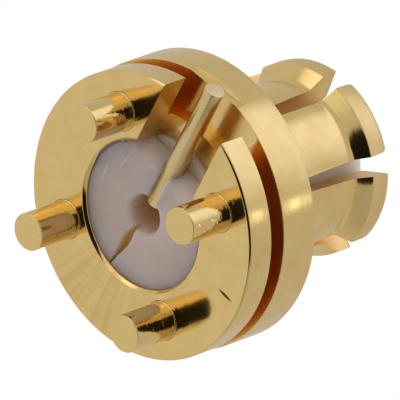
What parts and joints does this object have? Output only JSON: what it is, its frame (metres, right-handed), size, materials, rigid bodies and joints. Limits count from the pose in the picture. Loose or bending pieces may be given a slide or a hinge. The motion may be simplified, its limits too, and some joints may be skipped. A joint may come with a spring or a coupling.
{
  "type": "coaxial board connector",
  "caption": "Straight gold-plated coaxial board connector: slotted spring-finger barrel with a flared lip, two flanges, round board posts and a radial solder pin.",
  "frame": {"origin": "middle of the board seating face, on the coaxial axis", "axes": "+Z along the coaxial axis to the mating end, +X the way the solder pin leaves, posts below z = 0"},
  "size_m": [0.0051, 0.0048, 0.005],
  "materials": {
    "body_gold": "gold plating over turned metal, faced rear side mirror bright, rims and fingers satin with fine turning lines",
    "post_gold": "polished gold plating, a little rough at the roots",
    "white_insulator": "waxy translucent white fluoropolymer",
    "contact_gold": "satin gold plating",
    "pin_gold": "satin gold plating"
  },
  "bodies": {
    "root": {"body": "body_gold", "board_post_1": "post_gold", "board_post_2": "post_gold", "board_post_3": "post_gold", "board_post_4": "post_gold", "insulator": "white_insulator", "center_contact": "contact_gold", "signal_pin": "pin_gold"}
  },
  "joints": []
}
